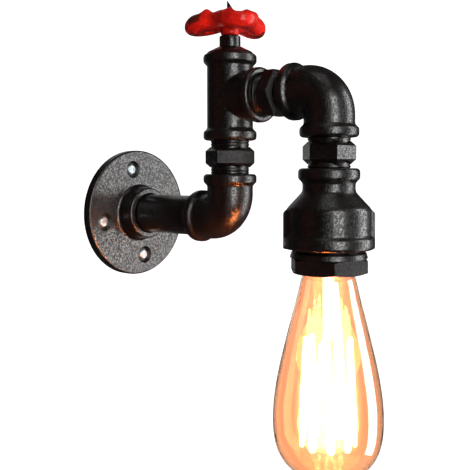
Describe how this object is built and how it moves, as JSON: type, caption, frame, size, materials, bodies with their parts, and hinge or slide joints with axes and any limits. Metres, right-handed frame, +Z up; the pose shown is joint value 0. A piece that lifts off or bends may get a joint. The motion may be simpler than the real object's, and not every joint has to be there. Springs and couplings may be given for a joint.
{
  "type": "industrial pipe wall light",
  "caption": "Wall light built from black malleable pipe fittings: round wall flange, elbows, tee with a red handwheel, bell reducer and a hanging pear-shaped filament lamp.",
  "frame": {"origin": "centre of the wall flange's back face, on the wall plane, at the middle of the four screws", "axes": "+Z up, +Y into the wall, the light stands out along -Y, +X to the right for someone facing the wall"},
  "size_m": [0.091, 0.2209, 0.2918],
  "materials": {
    "black_casting": "black satin paint over cast texture",
    "black_pipe": "black satin paint over drawn pipe",
    "black_machined": "black satin paint over cut threads",
    "zinc_screws": "zinc plated",
    "dark_steel": "blackened steel",
    "red_enamel": "glossy red enamel over cast iron",
    "packing": "graphited cord",
    "ceramic": "unglazed white",
    "brass": "pressed brass",
    "cap_brass": "rolled brass",
    "black_glass": "fused dark glass",
    "solder": "solder",
    "lead_brown": "brown silicone insulation",
    "lead_blue": "blue silicone insulation",
    "amber_glass": "clear amber-tinted blown glass",
    "clear_glass": "clear stem glass",
    "nickel_wire": "drawn nickel wire",
    "filament": "glowing carbon-style filament"
  },
  "bodies": {
    "root": {"wall_flange": "black_casting", "wall_screws": "zinc_screws", "pipe_nipple": "black_pipe", "lower_elbow": "black_casting", "lower_hex_nipple": "black_machined", "tee": "black_casting", "branch_hex_nipple": "black_machined", "upper_elbow": "black_casting", "drop_hex_nipple": "black_machined", "bell_reducer": "black_casting", "hex_bushing": "black_casting", "valve_bonnet": "black_casting", "gland_packing": "packing", "gland_nut": "black_machined", "lampholder_body": "ceramic", "lampholder_shell": "brass", "lampholder_contact": "brass", "lampholder_terminals": "brass", "lampholder_ring": "zinc_screws", "live_lead": "lead_brown", "neutral_lead": "lead_blue"},
    "wheel": {"spindle": "dark_steel", "handwheel": "red_enamel", "wheel_washer": "dark_steel", "wheel_nut": "dark_steel"},
    "bulb_carrier": {"bulb_centre_contact": "solder"},
    "bulb": {"bulb_cap": "cap_brass", "bulb_cap_insulator": "black_glass", "bulb_glass": "amber_glass", "bulb_stem": "clear_glass", "bulb_support_wires": "nickel_wire", "bulb_filament": "filament"}
  },
  "joints": [
    {"name": "wheel_turn", "type": "hinge", "parent": "root", "child": "wheel", "pos_m": [0, -0.0954, 0.12], "axis": [0, 0, 1], "continuous": true},
    {"name": "bulb_travel", "type": "slide", "parent": "root", "child": "bulb_carrier", "axis": [0, 0, -1], "range_m": [0, 0.01825]},
    {"name": "bulb_turn", "type": "hinge", "parent": "bulb_carrier", "child": "bulb", "pos_m": [0, -0.17255, -0.02], "axis": [0, 0, -1], "range_deg": [0, 1800]}
  ],
  "couplings": [
    {"joint": "bulb_travel", "follows": "bulb_turn", "m_per_rad": 0.00057757}
  ]
}
